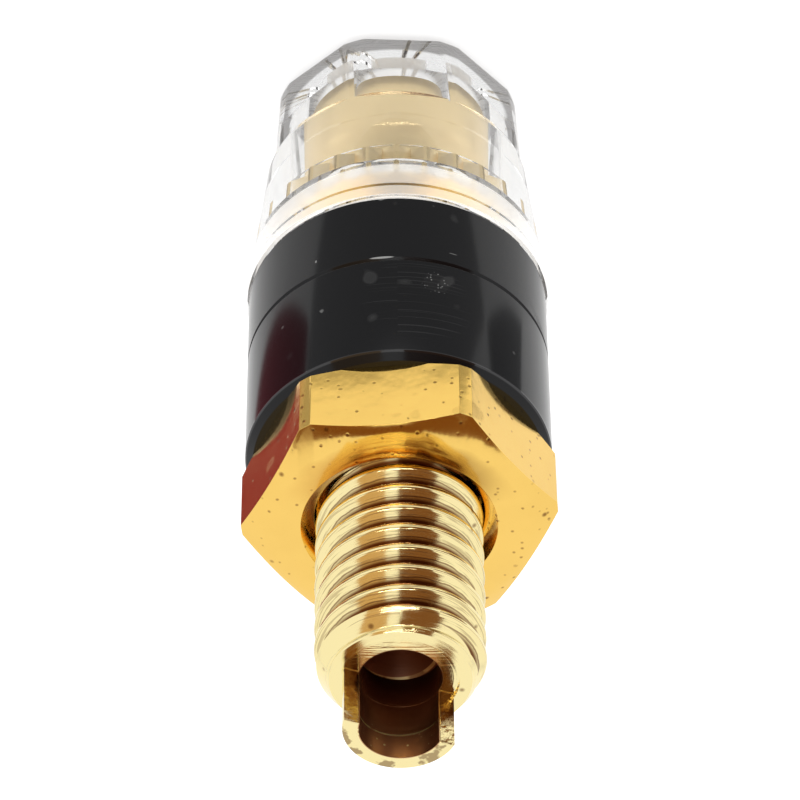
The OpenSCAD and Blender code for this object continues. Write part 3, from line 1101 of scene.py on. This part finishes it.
def softbox(name, place, size, power, mirrored=False):
    """A studio lamp aimed at the part."""
    data = bpy.data.lights.new(name, "AREA")
    data.shape = "RECTANGLE"
    data.size, data.size_y = size
    data.energy = power
    lamp = bpy.data.objects.new(name, data)
    bpy.context.scene.collection.objects.link(lamp)
    lamp.location = place
    lamp.rotation_mode = "QUATERNION"
    lamp.rotation_quaternion = (Vector(AIM) - Vector(place)).to_track_quat("-Z", "Y")
    # the white room already stands for the lamps in reflections
    lamp.visible_glossy = mirrored


class POST_OT_build_stage(bpy.types.Operator):
    """Make the floor, the cards, the lamps, the room and the camera"""

    bl_idname = "binding_post.build_stage"
    bl_label = "Stage"

    def execute(self, context):
        stage = context.scene.stage_settings
        bpy.ops.mesh.primitive_plane_add(size=3.0, location=(0, 0, 0))
        floor = bpy.context.object
        floor.name = "floor"
        floor.data.materials.append(glowing_floor(stage))

        card("overhead_card", (-0.16, -0.075), (0.16, 0.012), 0.30, stage.brown_card)
        curtain("brown_curtain", 0.022, 0.34, stage.brown_card)
        curtain("tan_curtain", -0.28, -0.060, stage.tan_card)
        for name, low, high, tone in (
            ("red_card", (-0.045, -0.026), (-0.0222, 0.012), stage.red_card),
            ("grey_card", (0.0225, -0.002), (0.034, 0.012), stage.grey_card),
            ("front_card", (-0.06, 0.0125), (0.0225, 0.0297), stage.front_card),
            ("side_card", (0.034, -0.002), (0.064, 0.06), stage.brown_card),
            ("far_card", (0.0035, 0.038), (0.030, 0.06), stage.brown_card),
        ):
            card(name, low, high, CARD_LIFT, tone)

        softbox("softbox_left", (-0.35, 0.05, 0.30), (0.30, 0.30), 0.28)
        softbox("softbox_right", (0.35, 0.0, 0.30), (0.30, 0.30), 0.28)
        softbox("softbox_back", (0.0, -0.35, 0.30), (0.40, 0.25), 0.30)
        softbox("strip_light", (0.0, 0.205, 0.175), (0.17, 0.010), 0.06, mirrored=True)

        world = bpy.data.worlds.new("room")
        n = blank_nodes(world)
        path = n.add("ShaderNodeLightPath").outputs
        seen = n.most(path["Is Camera Ray"], path["Is Glossy Ray"], path["Is Transmission Ray"])
        strength = n.span(seen, 0.0, 1.0, stage.surround, 1.0)
        room = n.add("ShaderNodeBackground", {"Color": (1, 1, 1, 1), "Strength": strength})
        n.add("ShaderNodeOutputWorld", {"Surface": room.outputs[0]})
        context.scene.world = world

        data = bpy.data.cameras.new("camera")
        data.lens = stage.lens_mm
        data.sensor_width = 36.0
        data.clip_start, data.clip_end = 0.01, 10.0
        camera = bpy.data.objects.new("camera", data)
        context.scene.collection.objects.link(camera)
        right = Vector((0.999966, -0.005624, 0.006039))
        up = Vector((0.0082436, 0.7142686, -0.6998232))
        back = right.cross(up).normalized()
        up = back.cross(right).normalized()
        place = Matrix((right.normalized(), up, back)).transposed().to_4x4()
        place.translation = (0, 0.147628, 0.170678)
        camera.matrix_world = place
        context.scene.camera = camera
        context.scene.view_settings.view_transform = "Standard"
        return {"FINISHED"}


class POST_PT_panel(bpy.types.Panel):
    """Lists the pieces and the settings"""

    bl_idname = "POST_PT_panel"
    bl_label = "Binding post"
    bl_space_type = "VIEW_3D"
    bl_region_type = "UI"
    bl_category = "Binding post"

    def draw(self, context):
        for operator in OPERATORS:
            self.layout.operator(operator.bl_idname)
        for label in SETTINGS:
            settings = getattr(context.scene, label)
            column = self.layout.box().column()
            column.label(text=label.replace("_", " ").capitalize())
            for name in settings.bl_rna.properties.keys():
                if name not in ("rna_type", "name"):
                    column.prop(settings, name)


SETTINGS = {
    "post_settings": PostSettings,
    "nut_settings": NutSettings,
    "insulator_settings": InsulatorSettings,
    "knob_settings": KnobSettings,
    "finish_settings": FinishSettings,
    "stage_settings": StageSettings,
}
OPERATORS = (
    POST_OT_build_post,
    POST_OT_build_nut,
    POST_OT_build_insulators,
    POST_OT_build_knob,
    POST_OT_build_insert,
    POST_OT_build_stage,
)


def register():
    for group_class in SETTINGS.values():
        bpy.utils.register_class(group_class)
    for operator in OPERATORS:
        bpy.utils.register_class(operator)
    bpy.utils.register_class(POST_PT_panel)
    for label, group_class in SETTINGS.items():
        setattr(bpy.types.Scene, label, bpy.props.PointerProperty(type=group_class))


def unregister():
    for label in SETTINGS:
        delattr(bpy.types.Scene, label)
    bpy.utils.unregister_class(POST_PT_panel)
    for operator in reversed(OPERATORS):
        bpy.utils.unregister_class(operator)
    for group_class in reversed(list(SETTINGS.values())):
        bpy.utils.unregister_class(group_class)


def main():
    register()
    bpy.ops.binding_post.build_post()
    bpy.ops.binding_post.build_nut()
    bpy.ops.binding_post.build_insulators()
    bpy.ops.binding_post.build_knob()
    bpy.ops.binding_post.build_insert()
    bpy.ops.binding_post.build_stage()


if __name__ == "__main__":
    main()
